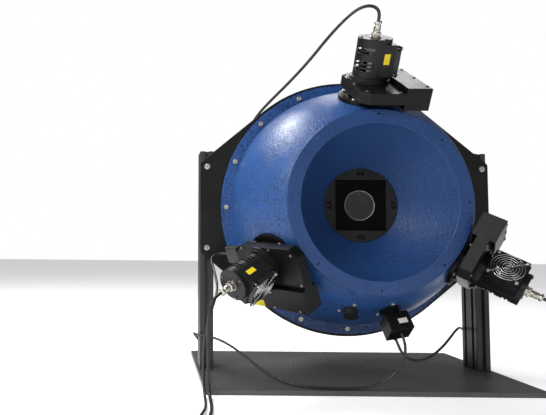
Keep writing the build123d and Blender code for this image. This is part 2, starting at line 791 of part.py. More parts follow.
def lamp_plug():
    ring_low = housing_end + socket_flange_height
    ring_top = ring_low + plug_ring_length
    body_top = ring_top + plug_body_length
    plug = tube(plug_ring_radius, socket_barrel_radius + plug_clearance, ring_low, ring_top)
    plug += tube(plug_ring_radius, 0, ring_low + socket_barrel_height + plug_clearance, ring_top)
    plug += tube(plug_body_radius, 0, ring_top, body_top)
    return plug + tube(plug_clamp_radius, 0, body_top, plug_end)


def shutter_hood():
    low = -case_low - inlet_size[1]
    hood = block(inlet_along - hood_width / 2, inlet_along + hood_width / 2, low - hood_length, low,
                 inlet_height - hood_thickness / 2, inlet_height + hood_thickness / 2)
    hood = fillet(hood.edges().filter_by(Axis.Y), hood_fillet)
    thumb = Rot(90, 0, 0) * Cylinder(thumb_screw_radius, thumb_screw_length)
    knob_x = inlet_along + hood_width / 2 + thumb_screw_radius - hood_fillet / 2
    hood += Pos(knob_x, low - thumb_screw_length / 2, inlet_height) * thumb
    return hood


def detector_plane():
    return port_plane(detector_azimuth, detector_elevation, 0)


def detector_collar():
    low = sphere_radius - 2 * shell_wall
    collar = tube(detector_collar_radius, detector_bore / 2, low, detector_collar_top)
    collar += tube(detector_flange_radius, detector_bore / 2, low, detector_flange_top)
    collar -= Sphere(sphere_radius + seat_gap)
    half_x, half_y = detector_width / 2, detector_depth / 2
    collar += block(-half_x, half_x, -half_y, half_y, detector_collar_top, detector_collar_top + detector_plate)
    collar -= tube(detector_bore / 2, 0, detector_collar_top, detector_collar_top + detector_plate)
    return place(collar, detector_plane())


def gland_places():
    # The second direction across the axis points away from the front in this plane
    return [(first_gland[0], -first_gland[1]), (second_gland[0], -second_gland[1])]


def detector_box():
    low = detector_collar_top + detector_plate
    top = detector_collar_top + detector_length
    half_x, half_y = detector_width / 2, detector_depth / 2
    box = block(-half_x, half_x, -half_y, half_y, low, top)
    box = chamfer(box.edges().filter_by(Axis.Z) + box.edges().group_by(Axis.Z)[-1], detector_edge)
    box -= block(detector_wall - half_x, half_x - detector_wall, detector_wall - half_y, half_y - detector_wall,
                 low, top - detector_wall)
    for x, y in gland_places():
        box += Pos(x, y, 0) * tube(gland_radius, 0, top - detector_wall, top + gland_height)
    return place(box, detector_plane())


def port_plug():
    top = sphere_radius + plugged_cap_height
    cap = tube(plugged_cap_radius, 0, sphere_radius - 2 * shell_wall, top)
    for n in range(plugged_grip_count):
        x, y = polar(plugged_cap_radius, n * 360 / plugged_grip_count)
        cap -= Pos(x, y, 0) * tube(plugged_grip_radius, 0, sphere_radius, top)
    cap -= Sphere(sphere_radius + seat_gap)
    stem = plugged_bore / 2 - screw_clearance
    cap += tube(stem, 0, sphere_radius - plugged_stem_length, sphere_radius + shell_wall)
    return place(cap, port_plane(plugged_azimuth, plugged_elevation, 0))


def run_out(plane, x, y, z, direction, first_run):
    # Where a lead leaves its plug, and the end of its first straight run
    start = Vector(*plane.from_local_coords((x, y, z)))
    return [start, start + direction * first_run]


def lamp_exit(unit, first_run):
    plane = lamp_plane(unit)
    return run_out(plane, 0, 0, plug_end, plane.z_dir, first_run)


def hood_exit():
    plane = case_plane("left")
    across = -case_low - inlet_size[1] - hood_length
    return run_out(plane, inlet_along, across, inlet_height, -plane.y_dir, signal_lead_start)


def gland_exit(n):
    x, y = gland_places()[n]
    plane = detector_plane()
    top = detector_collar_top + detector_length + gland_height
    return run_out(plane, x, y, top, plane.z_dir, signal_lead_start)


# Heights of a lead's middle where it lies on the table or the base, and at its far plug
lamp_low = lamp_lead / 2 + lead_gap
lamp_high = base_thickness + lamp_low
signal_low = signal_lead / 2 + lead_gap
signal_high = base_thickness + signal_low
plug_low = far_plug_radius

# Each lead's route after its first run, to its far plug, in points chosen by hand.
# The points were chosen beside posts 305 mm from the middle, and move out with the posts.
route_spread = post_x / 305
lead_routes = {
    "top_lamp_lead": (lamp_lead, lamp_exit("top", 11.5), [
        (-6, -242, 728), (-16.5, -244.5, 732), (-29.5, -243.5, 732), (-45, -235.5, 727), (-62, -217.5, 714),
        (-82, -180, 693), (-105, -136, 663), (-132, -92, 634), (-162, -50, 606), (-188, -12, 580),
        (-210, 16, 544), (-230, 34, 500), (-250, 44, 450), (-267, 52, 396), (-281, 57, 338), (-291, 60, 270),
        (-296, 61, 200), (-298, 61, 136), (-298, 63, 84), (-297, 70, 46), (-295, 86, 21),
        (-293, 112, lamp_high), (-290, 146, lamp_high + 0.2), (-288, 180, lamp_high),
        (-286, 216, lamp_high), (-284, 239, plug_low), (-282, 264, plug_low)]),
    "left_lamp_lead": (lamp_lead, lamp_exit("left", lamp_lead_start), [
        (-318.5, -243.5, 174.5), (-322, -244, 151), (-323, -238, 116), (-322, -229, 78), (-320, -219, 42),
        (-319, -216, 26), (-318.5, -222, 13), (-318.5, -236, 5.2), (-319, -258, lamp_low),
        (-321, -294, lamp_low), (-326, -336, plug_low), (-334, -372, plug_low)]),
    "right_lamp_lead": (lamp_lead, lamp_exit("right", lamp_lead_start), [
        (319, -246, 168), (328, -249, 148), (334, -248, 122), (339, -244, 92), (344, -239, 62),
        (348, -234, 38), (350, -233, 23), (351, -240, 11), (352, -254, 4.6), (353, -276, lamp_low),
        (353.5, -306, plug_low), (352, -336, plug_low)]),
    "left_shutter_lead": (signal_lead, hood_exit(), [
        (-283, -78.6, 263.2), (-295.5, -82, 259.6), (-302.5, -91.2, 252.6), (-302.5, -108.6, 242.8),
        (-300.5, -138, 226), (-299.5, -172, 209.5), (-302, -202, 195), (-309, -222, 178),
        (-319, -233, 152), (-326.5, -231.5, 118), (-329.5, -223.5, 80), (-329, -215.5, 46), (-328, -212, 28),
        (-327.5, -216.5, 14), (-327.5, -230, 4.9), (-328, -251, signal_low), (-331, -290, signal_low),
        (-338, -328, plug_low), (-349, -364, plug_low)]),
    "first_detector_lead": (signal_lead, gland_exit(0), [
        (49, -210.5, 92), (46, -209.5, 70), (33.5, -206, 47), (13, -202, 28), (-14, -198, 16.5),
        (-48, -194, signal_high), (-88, -191, signal_high), (-126, -184, signal_high), (-158, -168, 14.7),
        (-184, -144, 21), (-206, -118, 33), (-227, -92, 48), (-248, -68, 62), (-269, -46, 73), (-291, -30, 80),
        (-314, -25, 83), (-329, -14, 84), (-331, 8, 83), (-330, 33, 78), (-321, 54.5, 67), (-309, 64, 50),
        (-304, 77, 29), (-302, 98, 14.8), (-301, 128, signal_high), (-299, 160, signal_high + 0.2),
        (-298, 190, signal_high), (-297, 216, signal_high), (-296, 239, plug_low), (-295, 264, plug_low)]),
    "second_detector_lead": (signal_lead, gland_exit(1), [
        (49, -189.5, 82), (60, -186, 71), (78, -175, 63), (100, -156, 59), (128, -129, 58), (160, -97, 63),
        (198, -57, 73), (235, -14, 85), (270, 29, 95), (298, 65, 94), (323, 90, 78), (342, 110, 54),
        (356, 130, 29), (367, 148, 12.5), (378, 166, 5), (392, 190, plug_low), (404, 215, plug_low)]),
}


def turn_radii(points):
    radii = []
    for before, corner, after in zip(points, points[1:], points[2:]):
        first, second = corner - before, after - corner
        half_turn = math.radians(first.get_angle(second)) / 2
        radii.append(limp_turn * min(first.length, second.length) / math.tan(half_turn))
    return radii


def lead(name):
    diameter, first_run, route = lead_routes[name]
    points = first_run + [Vector(x * route_spread, y, z) for x, y, z in route]
    radii = turn_radii(points)
    path = FilletPolyline(*points, radius=radii)
    section = Plane(origin=path @ 0, z_dir=path % 0) * Circle(diameter / 2)
    solid = sweep(section, path=path, transition=Transition.RIGHT)
    expected = math.pi * diameter ** 2 / 4 * path.length
    tightest = ", ".join(f"{radius / diameter:.1f}" for radius in radii)
    print(f"{name}: {path.length:.0f} mm, volume ratio {solid.volume / expected:.4f}, radii in diameters {tightest}")
    return solid


def far_plug(name):
    route = lead_routes[name][2]
    before, last = [Vector(x * route_spread, y, z) for x, y, z in route[-2:]]
    plane = Plane(origin=last, z_dir=last - before)
    body = tube(far_plug_radius, 0, 0, far_plug_length)
    pin_end = far_plug_length + far_plug_pin_length
    return place(body + tube(far_plug_pin_radius, 0, far_plug_length, pin_end), plane)


def build_nodes():
    nodes = {
        "base_plate": base_plate(),
        "left_post": post(-1),
        "right_post": post(1),
        "mounting_plate": mounting_plate(),
        "front_shell": front_shell(),
        "rear_shell": rear_shell(),
        "port_funnel": port_funnel(),
        "port_disc": port_disc(),
        "aperture_plate": aperture_plate(),
        "flange_screws": flange_screws(),
        "frame_screws": frame_screws(),
        "port_screws": port_screws(),
        "cover_screws": cover_screw_set(),
        "fan_screws": fan_screws(),
        "detector_collar": detector_collar(),
        "detector_box": detector_box(),
        "port_plug": port_plug(),
        "left_shutter_hood": place(shutter_hood(), case_plane("left")),
    }
    housing, bulb, frame, rotor, guard, plug = (
        lamp_housing(), lamp(), fan_frame(), fan_rotor(), fan_guard(), lamp_plug())
    for unit, (_, _, _, hand) in lamp_units.items():
        for name, make in (("attenuator_case", attenuator_case), ("attenuator_cover", attenuator_cover),
                           ("shutter_vane", shutter_vane), ("shutter_motor", shutter_motor)):
            nodes[f"{unit}_{name}"] = place(make(hand), case_plane(unit))
        for name, shape in (("lamp_housing", housing), ("lamp", bulb), ("fan_frame", frame),
                            ("fan_rotor", rotor), ("fan_guard", guard), ("lamp_plug", plug)):
            nodes[f"{unit}_{name}"] = place(shape, lamp_plane(unit))
    for name in lead_routes:
        nodes[name] = lead(name)
        nodes[f"{name}_plug"] = far_plug(name)
    return nodes


os.makedirs("parts", exist_ok=True)
for node_name, node_shape in build_nodes().items():
    export_step(node_shape, f"parts/{node_name}.step")
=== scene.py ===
import math

import bmesh
import bpy
from mathutils import Matrix, Vector


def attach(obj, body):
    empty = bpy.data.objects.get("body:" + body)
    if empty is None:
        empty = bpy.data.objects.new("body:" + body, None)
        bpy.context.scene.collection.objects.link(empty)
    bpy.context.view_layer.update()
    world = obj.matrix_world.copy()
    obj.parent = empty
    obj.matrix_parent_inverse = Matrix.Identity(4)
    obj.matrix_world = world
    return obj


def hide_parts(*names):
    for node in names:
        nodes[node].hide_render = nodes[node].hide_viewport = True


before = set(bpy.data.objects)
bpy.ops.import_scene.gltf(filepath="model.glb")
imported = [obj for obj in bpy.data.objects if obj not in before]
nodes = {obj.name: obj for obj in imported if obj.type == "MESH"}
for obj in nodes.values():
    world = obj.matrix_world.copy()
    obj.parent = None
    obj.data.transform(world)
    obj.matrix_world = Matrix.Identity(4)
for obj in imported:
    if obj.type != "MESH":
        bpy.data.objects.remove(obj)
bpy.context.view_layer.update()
mm = 0.001

# the camera, solved from the base plate's grid of holes
camera = {"place": (-0.42293, -1.30015, 0.28049), "pitchUp": 0.0643226, "roll": 0.009448,
          "sensor": 36.0, "focalLength": 37.99, "shift": 0.21761, "reach": 60.0}
lens = bpy.data.cameras.new("camera")
lens.sensor_width = camera["sensor"]
lens.lens = camera["focalLength"]
lens.shift_x = camera["shift"]
lens.clip_end = camera["reach"]
eye = bpy.data.objects.new("camera", lens)
eye.matrix_world = (Matrix.Translation(camera["place"]) @ Matrix.Rotation(math.pi / 2 + camera["pitchUp"], 4, "X")
                    @ Matrix.Rotation(camera["roll"], 4, "Z"))
bpy.context.scene.collection.objects.link(eye)
bpy.context.scene.camera = eye
bpy.context.scene.view_settings.view_transform = "Standard"
print("camera set")

# where the lamp units and the detector sit on the sphere, in degrees and millimetres
sphereCentre = Vector((0, -24, 365)) * mm
lampUnits = {
    "top": {"azimuth": 0, "elevation": 31, "caseTurn": 0, "fanTurn": 0, "hand": -1},
    "right": {"azimuth": 121, "elevation": 31, "caseTurn": 175, "fanTurn": 113, "hand": 1},
    "left": {"azimuth": -120, "elevation": 31, "caseTurn": 200, "fanTurn": 145, "hand": 1},
}
detector = {"azimuth": 169, "elevation": 33, "turn": 0, "patchPlace": (-6, -23.02, 287), "patchSize": (17, 10)}
lampPlug = {"low": 373, "nutLow": 374.6, "nutTop": 379.4, "nutRadius": 9.45, "top": 402, "teeth": 26,
            "toothDepth": 0.6}


def portFrame(azimuth, elevation, turn):
    # millimetres, with Z out of the sphere at a port
    around, up, spin = math.radians(azimuth), math.radians(elevation), math.radians(turn)
    outward = Vector((math.sin(around) * math.cos(up), -math.sin(up), math.cos(around) * math.cos(up)))
    sideways = Vector((math.cos(around), 0, -math.sin(around)))
    forwards = Vector((-math.sin(around) * math.sin(up), -math.cos(up), -math.cos(around) * math.sin(up)))
    across = sideways * math.cos(spin) + forwards * math.sin(spin)
    turned = Matrix((across, outward.cross(across), outward)).transposed().to_4x4()
    return Matrix.Translation(sphereCentre) @ turned @ Matrix.Scale(mm, 4)


def caseFrame(unit):
    sits = lampUnits[unit]
    return portFrame(sits["azimuth"], sits["elevation"], sits["caseTurn"]) @ Matrix.Scale(sits["hand"], 4, (0, 1, 0))


def lampFrame(unit):
    sits = lampUnits[unit]
    return portFrame(sits["azimuth"], sits["elevation"], sits["fanTurn"])


def detectorFrame():
    return portFrame(detector["azimuth"], detector["elevation"], detector["turn"])


def firstRun(place, start, direction, run):
    # a cord's start and the end of its first straight run, in metres
    begin = place @ Vector(start)
    along = (place.to_3x3() @ Vector(direction)).normalized()
    return [begin, begin + along * run * mm]


class Wire:  # one output of a material, which Python's arithmetic extends with Math nodes
    def __init__(self, finish, socket):
        self.finish = finish
        self.socket = socket

    def __add__(self, other):
        return self.finish.maths("ADD", self, other)

    def __sub__(self, other):
        return self.finish.maths("SUBTRACT", self, other)

    def __rsub__(self, other):
        return self.finish.maths("SUBTRACT", other, self)

    def __mul__(self, other):
        return self.finish.maths("MULTIPLY", self, other)

    def __gt__(self, other):
        return self.finish.maths("GREATER_THAN", self, other)

    def __lt__(self, other):
        return self.finish.maths("LESS_THAN", self, other)

    __radd__ = __add__
    __rmul__ = __mul__


class Finish:
    def __init__(self, name):
        self.material = bpy.data.materials.new(name)
        self.material.use_nodes = True
        self.tree = self.material.node_tree
        self.surface = self.tree.nodes["Principled BSDF"]
        self.place = self.add("ShaderNodeTexCoord", {}, {}, "Object")

    def plug(self, target, value):
        if isinstance(value, Wire):
            self.tree.links.new(value.socket, target)
        else:
            target.default_value = value

    def add(self, kind, settings, sockets, output=0):
        node = self.tree.nodes.new(kind)
        for key, value in settings.items():
            setattr(node, key, value)
        for key, value in sockets.items():
            self.plug(node.inputs[key], value)
        return Wire(self, node.outputs[output])

    def maths(self, operation, first, second):
        return self.add("ShaderNodeMath", {"operation": operation}, {0: first, 1: second})

    def noise(self, scale, detail=2.0, rough=0.5, where=None):
        return self.add("ShaderNodeTexNoise", {},
                        {"Vector": where or self.place, "Scale": scale, "Detail": detail, "Roughness": rough}, "Fac")

    def stretched(self, scale, turn=(0, 0, 0)):
        return self.add("ShaderNodeMapping", {}, {"Vector": self.place, "Scale": scale, "Rotation": turn})

    def blend(self, share, first, second):
        return self.add("ShaderNodeMix", {"data_type": "RGBA"}, {0: share, 6: first, 7: second}, 2)

    def band(self, value, low, high):
        # 0 below low, 1 above high
        return self.add("ShaderNodeMapRange", {}, {0: value, 1: low, 2: high})

    def distance(self, centre):
        away = self.add("ShaderNodeVectorMath", {"operation": "SUBTRACT"}, {0: self.place, 1: centre})
        return self.add("ShaderNodeVectorMath", {"operation": "LENGTH"}, {0: away}, "Value")

    def bump(self, height, strength, depth, edge=0.0):
        sockets = {"Height": height, "Strength": strength, "Distance": depth}
        if edge:
            sockets["Normal"] = self.add("ShaderNodeBevel", {"samples": 6}, {"Radius": edge})
        return self.add("ShaderNodeBump", {}, sockets)

    def paint(self, **sockets):
        for key, value in sockets.items():
            self.plug(self.surface.inputs[key.replace("_", " ")], value)
        return self.material


def grey(level, tint=0.0):
    # a positive tint is bluer, a negative one browner
    return (level, level, level * (1 + tint), 1)


def anodised(name, dark=0.006, light=0.011, rough=0.38, edge=0.0006, grain=2600, shine=0.30, lip=None):
    # lip is a place and a reach round it, where a pale ring is painted as the highlight on the metal's edge
    made = Finish(name)
    cloud = made.noise(14, 3)
    fine = made.noise(grain, 2)
    colour = made.blend(made.band(cloud, 0.35, 0.65), grey(dark, 0.06), grey(light, 0.04))
    smear = made.noise(60, 4, 0.6)
    if lip:
        # a pale ring at the aperture's edge, painted in as the edge's highlight
        colour = made.blend(made.distance(lip[0]) < lip[1], colour, (0.55, 0.55, 0.53, 1))
    return made.paint(Base_Color=colour, Roughness=rough + (smear - 0.5) * 0.22 + (fine - 0.5) * 0.10,
                      Specular_IOR_Level=shine, Normal=made.bump(fine, 0.25, 0.00008, edge))


def extrudedMetal():
    # long faint die lines up the profile
    made = Finish("extrudedPost")
    lines = made.noise(1, 2, 0.6, made.stretched((900, 900, 3)))
    cloud = made.noise(9, 3)
    colour = made.blend(made.band(cloud + lines * 0.3, 0.45, 0.85), grey(0.028, 0.02), grey(0.048, 0.02))
    return made.paint(Base_Color=colour, Roughness=0.34 + lines * 0.14, Specular_IOR_Level=0.45,
                      Normal=made.bump(lines, 0.2, 0.0001, 0.0006))


def tableTopMetal():
    made = Finish("satinBase")
    cloud = made.noise(5, 4, 0.6)
    fine = made.noise(2200, 2)
    scuff = made.band(made.noise(1, 3, 0.7, made.stretched((18, 160, 18), (0, 0, 0.3))), 0.62, 0.72)
    colour = made.blend(made.band(cloud, 0.3, 0.7), grey(0.066, -0.07), grey(0.098, -0.09))
    return made.paint(Base_Color=made.blend(scuff * 0.25, colour, grey(0.05)),
                      Roughness=0.36 + (cloud - 0.5) * 0.2 + scuff * 0.1, Specular_IOR_Level=0.5,
                      Normal=made.bump(fine, 0.25, 0.00008, 0.0007))


def hammeredBlue(name, base, pale, rough, speckle, coatAndGlowWithin=None):
    # coatAndGlowWithin is a place and a reach round it, where the sphere's white inner coat is, which also gets a faint
    # painted glow
    made = Finish(name)
    cloud = made.noise(7, 3, 0.55)
    spots = made.band(made.noise(250, 2, 0.6), 0.50, 0.59) * made.band(made.noise(20, 3, 0.6), 0.34, 0.52)
    flecks = made.band(made.noise(560, 1, 0.5), 0.50, 0.62)
    peel = made.noise(260, 2, 0.45)
    colour = made.blend(made.band(cloud, 0.3, 0.7), base, pale)
    colour = made.blend(spots * speckle, colour, (0.006, 0.020, 0.085, 1))
    colour = made.blend(flecks * speckle * 0.4, colour, (0.01, 0.025, 0.08, 1))
    normal = made.bump(peel + spots * -0.4, 0.9, 0.0009, 0.0008)
    roughness = rough + (cloud - 0.5) * 0.12
    if not coatAndGlowWithin:
        return made.paint(Base_Color=colour, Roughness=roughness, Normal=normal)
    # inside the coat a faint emission is added: a painted glow, standing in for the light within the sphere
    white = made.distance(coatAndGlowWithin[0]) < coatAndGlowWithin[1]
    return made.paint(Base_Color=made.blend(white, colour, (0.74, 0.735, 0.72, 1)),
                      Roughness=roughness + white * 0.5, Normal=normal,
                      Emission_Color=made.blend(white, grey(0.0), grey(0.01)), Emission_Strength=1.0)


def screwSteel(name, low, high, darkWithin=None):
    # darkWithin is a place and a reach round it, where the heads are black
    made = Finish(name)
    cloud = made.noise(90, 3)
    fine = made.noise(1800, 2)
    colour = made.blend(made.band(cloud, 0.3, 0.7), low, high)
    if darkWithin:
        colour = made.blend(made.distance(darkWithin[0]) < darkWithin[1], colour, grey(0.035))
    return made.paint(Base_Color=colour, Metallic=0.85, Roughness=0.30 + fine * 0.16,
                      Normal=made.bump(fine, 0.15, 0.00005, 0.0003))


def nickel():
    made = Finish("nickelShell")
    cloud = made.noise(120, 3)
    rings = made.noise(2400, 2)
    colour = made.blend(made.band(cloud, 0.3, 0.75), (0.46, 0.43, 0.37, 1), (0.74, 0.71, 0.65, 1))
    return made.paint(Base_Color=colour, Metallic=1.0, Roughness=0.22 + rings * 0.16,
                      Normal=made.bump(rings, 0.12, 0.00004, 0.0002))


def guardWire():
    made = Finish("brightWire")
    cloud = made.noise(200, 2)
    return made.paint(Base_Color=made.blend(cloud, (0.62, 0.62, 0.62, 1), (0.85, 0.85, 0.84, 1)), Metallic=1.0,
                      Roughness=0.14 + cloud * 0.12)


def mouldedPlastic(name, level=0.012, rough=0.42, grain=1400):
    made = Finish(name)
    fine = made.noise(grain, 2)
    cloud = made.noise(30, 2)
    return made.paint(Base_Color=made.blend(cloud, grey(level * 0.7), grey(level * 1.4)),
                      Roughness=rough + (cloud - 0.5) * 0.14, Specular_IOR_Level=0.5,
                      Normal=made.bump(fine, 0.3, 0.0001, 0.0004))


def cableJacket():
    made = Finish("cableJacket")
    cloud = made.noise(45, 3)
    fine = made.noise(1500, 2)
    return made.paint(Base_Color=made.blend(cloud, grey(0.012, 0.05), grey(0.026, 0.05)),
                      Roughness=0.34 + fine * 0.12, Specular_IOR_Level=0.5, Normal=made.bump(fine, 0.2, 0.00008))


def patch(name, colour, other):
    made = Finish(name)
    cloud = made.noise(300, 3)
    return made.paint(Base_Color=made.blend(made.band(cloud, 0.35, 0.7), colour, other),
                      Roughness=0.42 + cloud * 0.1, Normal=made.bump(cloud, 0.1, 0.00004, 0.0002))


def lampGlass():
    made = Finish("lampGlass")
    cloud = made.noise(80, 2)
    return made.paint(Base_Color=made.blend(cloud, (0.75, 0.76, 0.78, 1), (0.9, 0.9, 0.9, 1)), Roughness=0.12,
                      Normal=made.bump(cloud, 0.05, 0.0001))


shellBlue = {"base": (0.020, 0.085, 0.29, 1), "pale": (0.030, 0.112, 0.35, 1), "rough": 0.30, "speckle": 0.75}
coatReach = 0.2512
# the pale ring painted round the aperture's edge as its highlight
paintedEdgeHighlight = ((0, -0.118, 0.365), 0.0309)
plated = {"low": (0.50, 0.47, 0.40, 1), "high": (0.72, 0.70, 0.64, 1)}
paint = {
    "anodised": anodised("blackAnodised"),
    "caseMetal": anodised("caseAnodised", dark=0.003, light=0.006, rough=0.33, edge=0.0007, grain=3200, shine=0.2),
    "discMetal": anodised("discAnodised", dark=0.013, light=0.020, rough=0.42, edge=0.0005, shine=0.2),
    "apertureMetal": anodised("apertureBlack", dark=0.0015, light=0.003, rough=0.6, edge=0.0003, shine=0.06,
                              lip=paintedEdgeHighlight),
    "post": extrudedMetal(),
    "base": tableTopMetal(),
    "frontBlue": hammeredBlue("frontShellBlue", **shellBlue, coatAndGlowWithin=((0, -0.024, 0.365), coatReach)),
    "rearBlue": hammeredBlue("rearShellBlue", **shellBlue, coatAndGlowWithin=((0, -0.016, 0.365), coatReach)),
    "funnelBlue": hammeredBlue("funnelBlue", base=(0.012, 0.050, 0.170, 1), pale=(0.016, 0.060, 0.200, 1),
                               rough=0.38, speckle=0.3),
    "screw": screwSteel("platedScrew", **plated),
    "portScrew": screwSteel("portScrew", **plated, darkWithin=((0, -0.124, 0.365), 0.08)),
    "lidScrew": screwSteel("lidScrew", low=(0.16, 0.155, 0.145, 1), high=(0.30, 0.29, 0.27, 1)),
    "nickel": nickel(),
    "wire": guardWire(),
    "plastic": mouldedPlastic("blackPlastic"),
    "fanPlastic": mouldedPlastic("fanPlastic", level=0.010, rough=0.30, grain=900),
    "jacket": cableJacket(),
    "yellow": patch("yellowPatch", (0.80, 0.62, 0.005, 1), (0.86, 0.70, 0.01, 1)),
    "pale": patch("palePatch", (0.62, 0.55, 0.55, 1), (0.72, 0.66, 0.66, 1)),
    "glass": lampGlass(),
}
print("materials made:", len(paint))

nodePaint = {
    "base_plate": "base", "left_post": "post", "right_post": "post", "mounting_plate": "anodised",
    "front_shell": "frontBlue", "rear_shell": "rearBlue", "port_funnel": "funnelBlue", "port_disc": "discMetal",
    "aperture_plate": "apertureMetal", "flange_screws": "screw", "frame_screws": "screw", "port_screws": "portScrew",
    "cover_screws": "lidScrew", "fan_screws": "screw", "detector_collar": "caseMetal", "detector_box": "caseMetal",
    "port_plug": "plastic", "left_shutter_hood": "plastic", "attenuator_case": "caseMetal",
    "attenuator_cover": "caseMetal", "shutter_vane": "anodised", "shutter_motor": "screw",
    "lamp_housing": "anodised", "lamp": "glass", "fan_frame": "fanPlastic", "fan_rotor": "fanPlastic",
    "fan_guard": "wire", "lamp_plug": "nickel",
}


def finishOf(name):
    # a unit's nodes share one entry, the leads have their jacket, and the far plugs are plastic
    if name.endswith("_lead"):
        return "jacket"
    for unit in lampUnits:
        if name not in nodePaint:
            name = name.removeprefix(f"{unit}_")
    return nodePaint.get(name, "plastic")


for name, node in nodes.items():
    node.data.materials.clear()
    node.data.materials.append(paint[finishOf(name)])
print("nodes painted:", len(nodes))


def makePiece(name, shape, finish, body="frame", smooth=None):
    mesh = bpy.data.meshes.new(name)
    shape.to_mesh(mesh)
    shape.free()
    piece = bpy.data.objects.new(name, mesh)
    bpy.context.scene.collection.objects.link(piece)
    mesh.materials.append(paint[finish])
    if smooth:
        mesh.shade_smooth()
        mesh.set_sharp_from_angle(angle=math.radians(smooth))
    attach(piece, body)
    return piece


def spinProfile(profile, steps, ring=False):
    # profile is a list of (radius, height), turned about Z, and closed on itself for a ring
    shape = bmesh.new()
    corners = [shape.verts.new((radius, 0, height)) for radius, height in profile]
    edges = [shape.edges.new(pair) for pair in zip(corners, corners[1:])]
    if ring:
        edges.append(shape.edges.new((corners[-1], corners[0])))
    bmesh.ops.spin(shape, geom=corners + edges, cent=(0, 0, 0), axis=(0, 0, 1), angle=math.tau, steps=steps,
                   use_merge=True)
    bmesh.ops.remove_doubles(shape, verts=shape.verts, dist=1e-5)
    bmesh.ops.recalc_face_normals(shape, faces=shape.faces)
    return shape


def knurledCylinder(radius, low, high, teeth, depth):
    shape = bmesh.new()
    place = Matrix.Translation((0, 0, (low + high) / 2))
    bmesh.ops.create_cone(shape, cap_ends=True, segments=teeth * 2, radius1=radius, radius2=radius,
                          depth=high - low, matrix=place)
    for corner in shape.verts:
        tooth = round(math.atan2(corner.co.y, corner.co.x) / (math.pi / teeth))
        if tooth % 2:
            corner.co.xy *= 1 - depth / radius
    return shape


def joined(shapes):
    whole = bmesh.new()
    for shape in shapes:
        part = bpy.data.meshes.new("part")
        shape.to_mesh(part)
        shape.free()
        whole.from_mesh(part)
        bpy.data.meshes.remove(part)
    return whole


def moved(shape, place):
    bmesh.ops.transform(shape, matrix=place, verts=shape.verts)
    if place.to_3x3().determinant() < 0:
        bmesh.ops.reverse_faces(shape, faces=shape.faces)
    return shape


# the cords: diameter, first run out of the plug, and then the same points as the solid lead, in millimetres
leadPoints = {
    "top_lamp_lead": (6, firstRun(lampFrame("top"), (0, 0, lampPlug["top"]), (0, 0, 1), 11.5), [
        (-6, -242, 728), (-16.5, -244.5, 732), (-29.5, -243.5, 732), (-45, -235.5, 727), (-62, -217.5, 714),
        (-82, -180, 693), (-105, -136, 663), (-132, -92, 634), (-162, -50, 606), (-188, -12, 580),
        (-210, 16, 544), (-230, 34, 500), (-250, 44, 450), (-267, 52, 396), (-281, 57, 338), (-291, 60, 270),
        (-296, 61, 200), (-298, 61, 136), (-298, 63, 84), (-297, 70, 46), (-295, 86, 21), (-293, 112, 13.3),
        (-290, 146, 13.5), (-288, 180, 13.3), (-286, 216, 13.3), (-284, 239, 5.5), (-282, 264, 5.5)]),
    "left_lamp_lead": (6, firstRun(lampFrame("left"), (0, 0, lampPlug["top"]), (0, 0, 1), 14), [
        (-318.5, -243.5, 174.5), (-322, -244, 151), (-323, -238, 116), (-322, -229, 78), (-320, -219, 42),
        (-319, -216, 26), (-318.5, -222, 13), (-318.5, -236, 5.2), (-319, -258, 3.3), (-321, -294, 3.3),
        (-326, -336, 5.5), (-334, -372, 5.5)]),
    "right_lamp_lead": (6, firstRun(lampFrame("right"), (0, 0, lampPlug["top"]), (0, 0, 1), 14), [
        (319, -246, 168), (328, -249, 148), (334, -248, 122), (339, -244, 92), (344, -239, 62),
        (348, -234, 38), (350, -233, 23), (351, -240, 11), (352, -254, 4.6), (353, -276, 3.3),
        (353.5, -306, 5.5), (352, -336, 5.5)]),
    "left_shutter_lead": (5, firstRun(caseFrame("left"), (-12, -95, 276), (0, -1, 0), 10.5), [
        (-283, -78.6, 263.2), (-295.5, -82, 259.6), (-302.5, -91.2, 252.6), (-302.5, -108.6, 242.8),
        (-300.5, -138, 226), (-299.5, -172, 209.5), (-302, -202, 195), (-309, -222, 178), (-319, -233, 152),
        (-326.5, -231.5, 118), (-329.5, -223.5, 80), (-329, -215.5, 46), (-328, -212, 28),
        (-327.5, -216.5, 14), (-327.5, -230, 4.9), (-328, -251, 2.8), (-331, -290, 2.8), (-338, -328, 5.5),
        (-349, -364, 5.5)]),
    "first_detector_lead": (5, firstRun(detectorFrame(), (2, -10, 308), (0, 0, 1), 10.5), [
        (49, -210.5, 92), (46, -209.5, 70), (33.5, -206, 47), (13, -202, 28), (-14, -198, 16.5),
        (-48, -194, 12.8), (-88, -191, 12.8), (-126, -184, 12.8), (-158, -168, 14.7), (-184, -144, 21),
        (-206, -118, 33), (-227, -92, 48), (-248, -68, 62), (-269, -46, 73), (-291, -30, 80), (-314, -25, 83),
        (-329, -14, 84), (-331, 8, 83), (-330, 33, 78), (-321, 54.5, 67), (-309, 64, 50), (-304, 77, 29),
        (-302, 98, 14.8), (-301, 128, 12.8), (-299, 160, 13), (-298, 190, 12.8), (-297, 216, 12.8),
        (-296, 239, 5.5), (-295, 264, 5.5)]),
    "second_detector_lead": (5, firstRun(detectorFrame(), (8, 12, 308), (0, 0, 1), 10.5), [
        (49, -189.5, 82), (60, -186, 71), (78, -175, 63), (100, -156, 59), (128, -129, 58), (160, -97, 63),
        (198, -57, 73), (235, -14, 85), (270, 29, 95), (298, 65, 94), (323, 90, 78), (342, 110, 54),
        (356, 130, 29), (367, 148, 12.5), (378, 166, 5), (392, 190, 5.5), (404, 215, 5.5)]),
}
cordMesh = {"roundness": 5, "steps": 10}


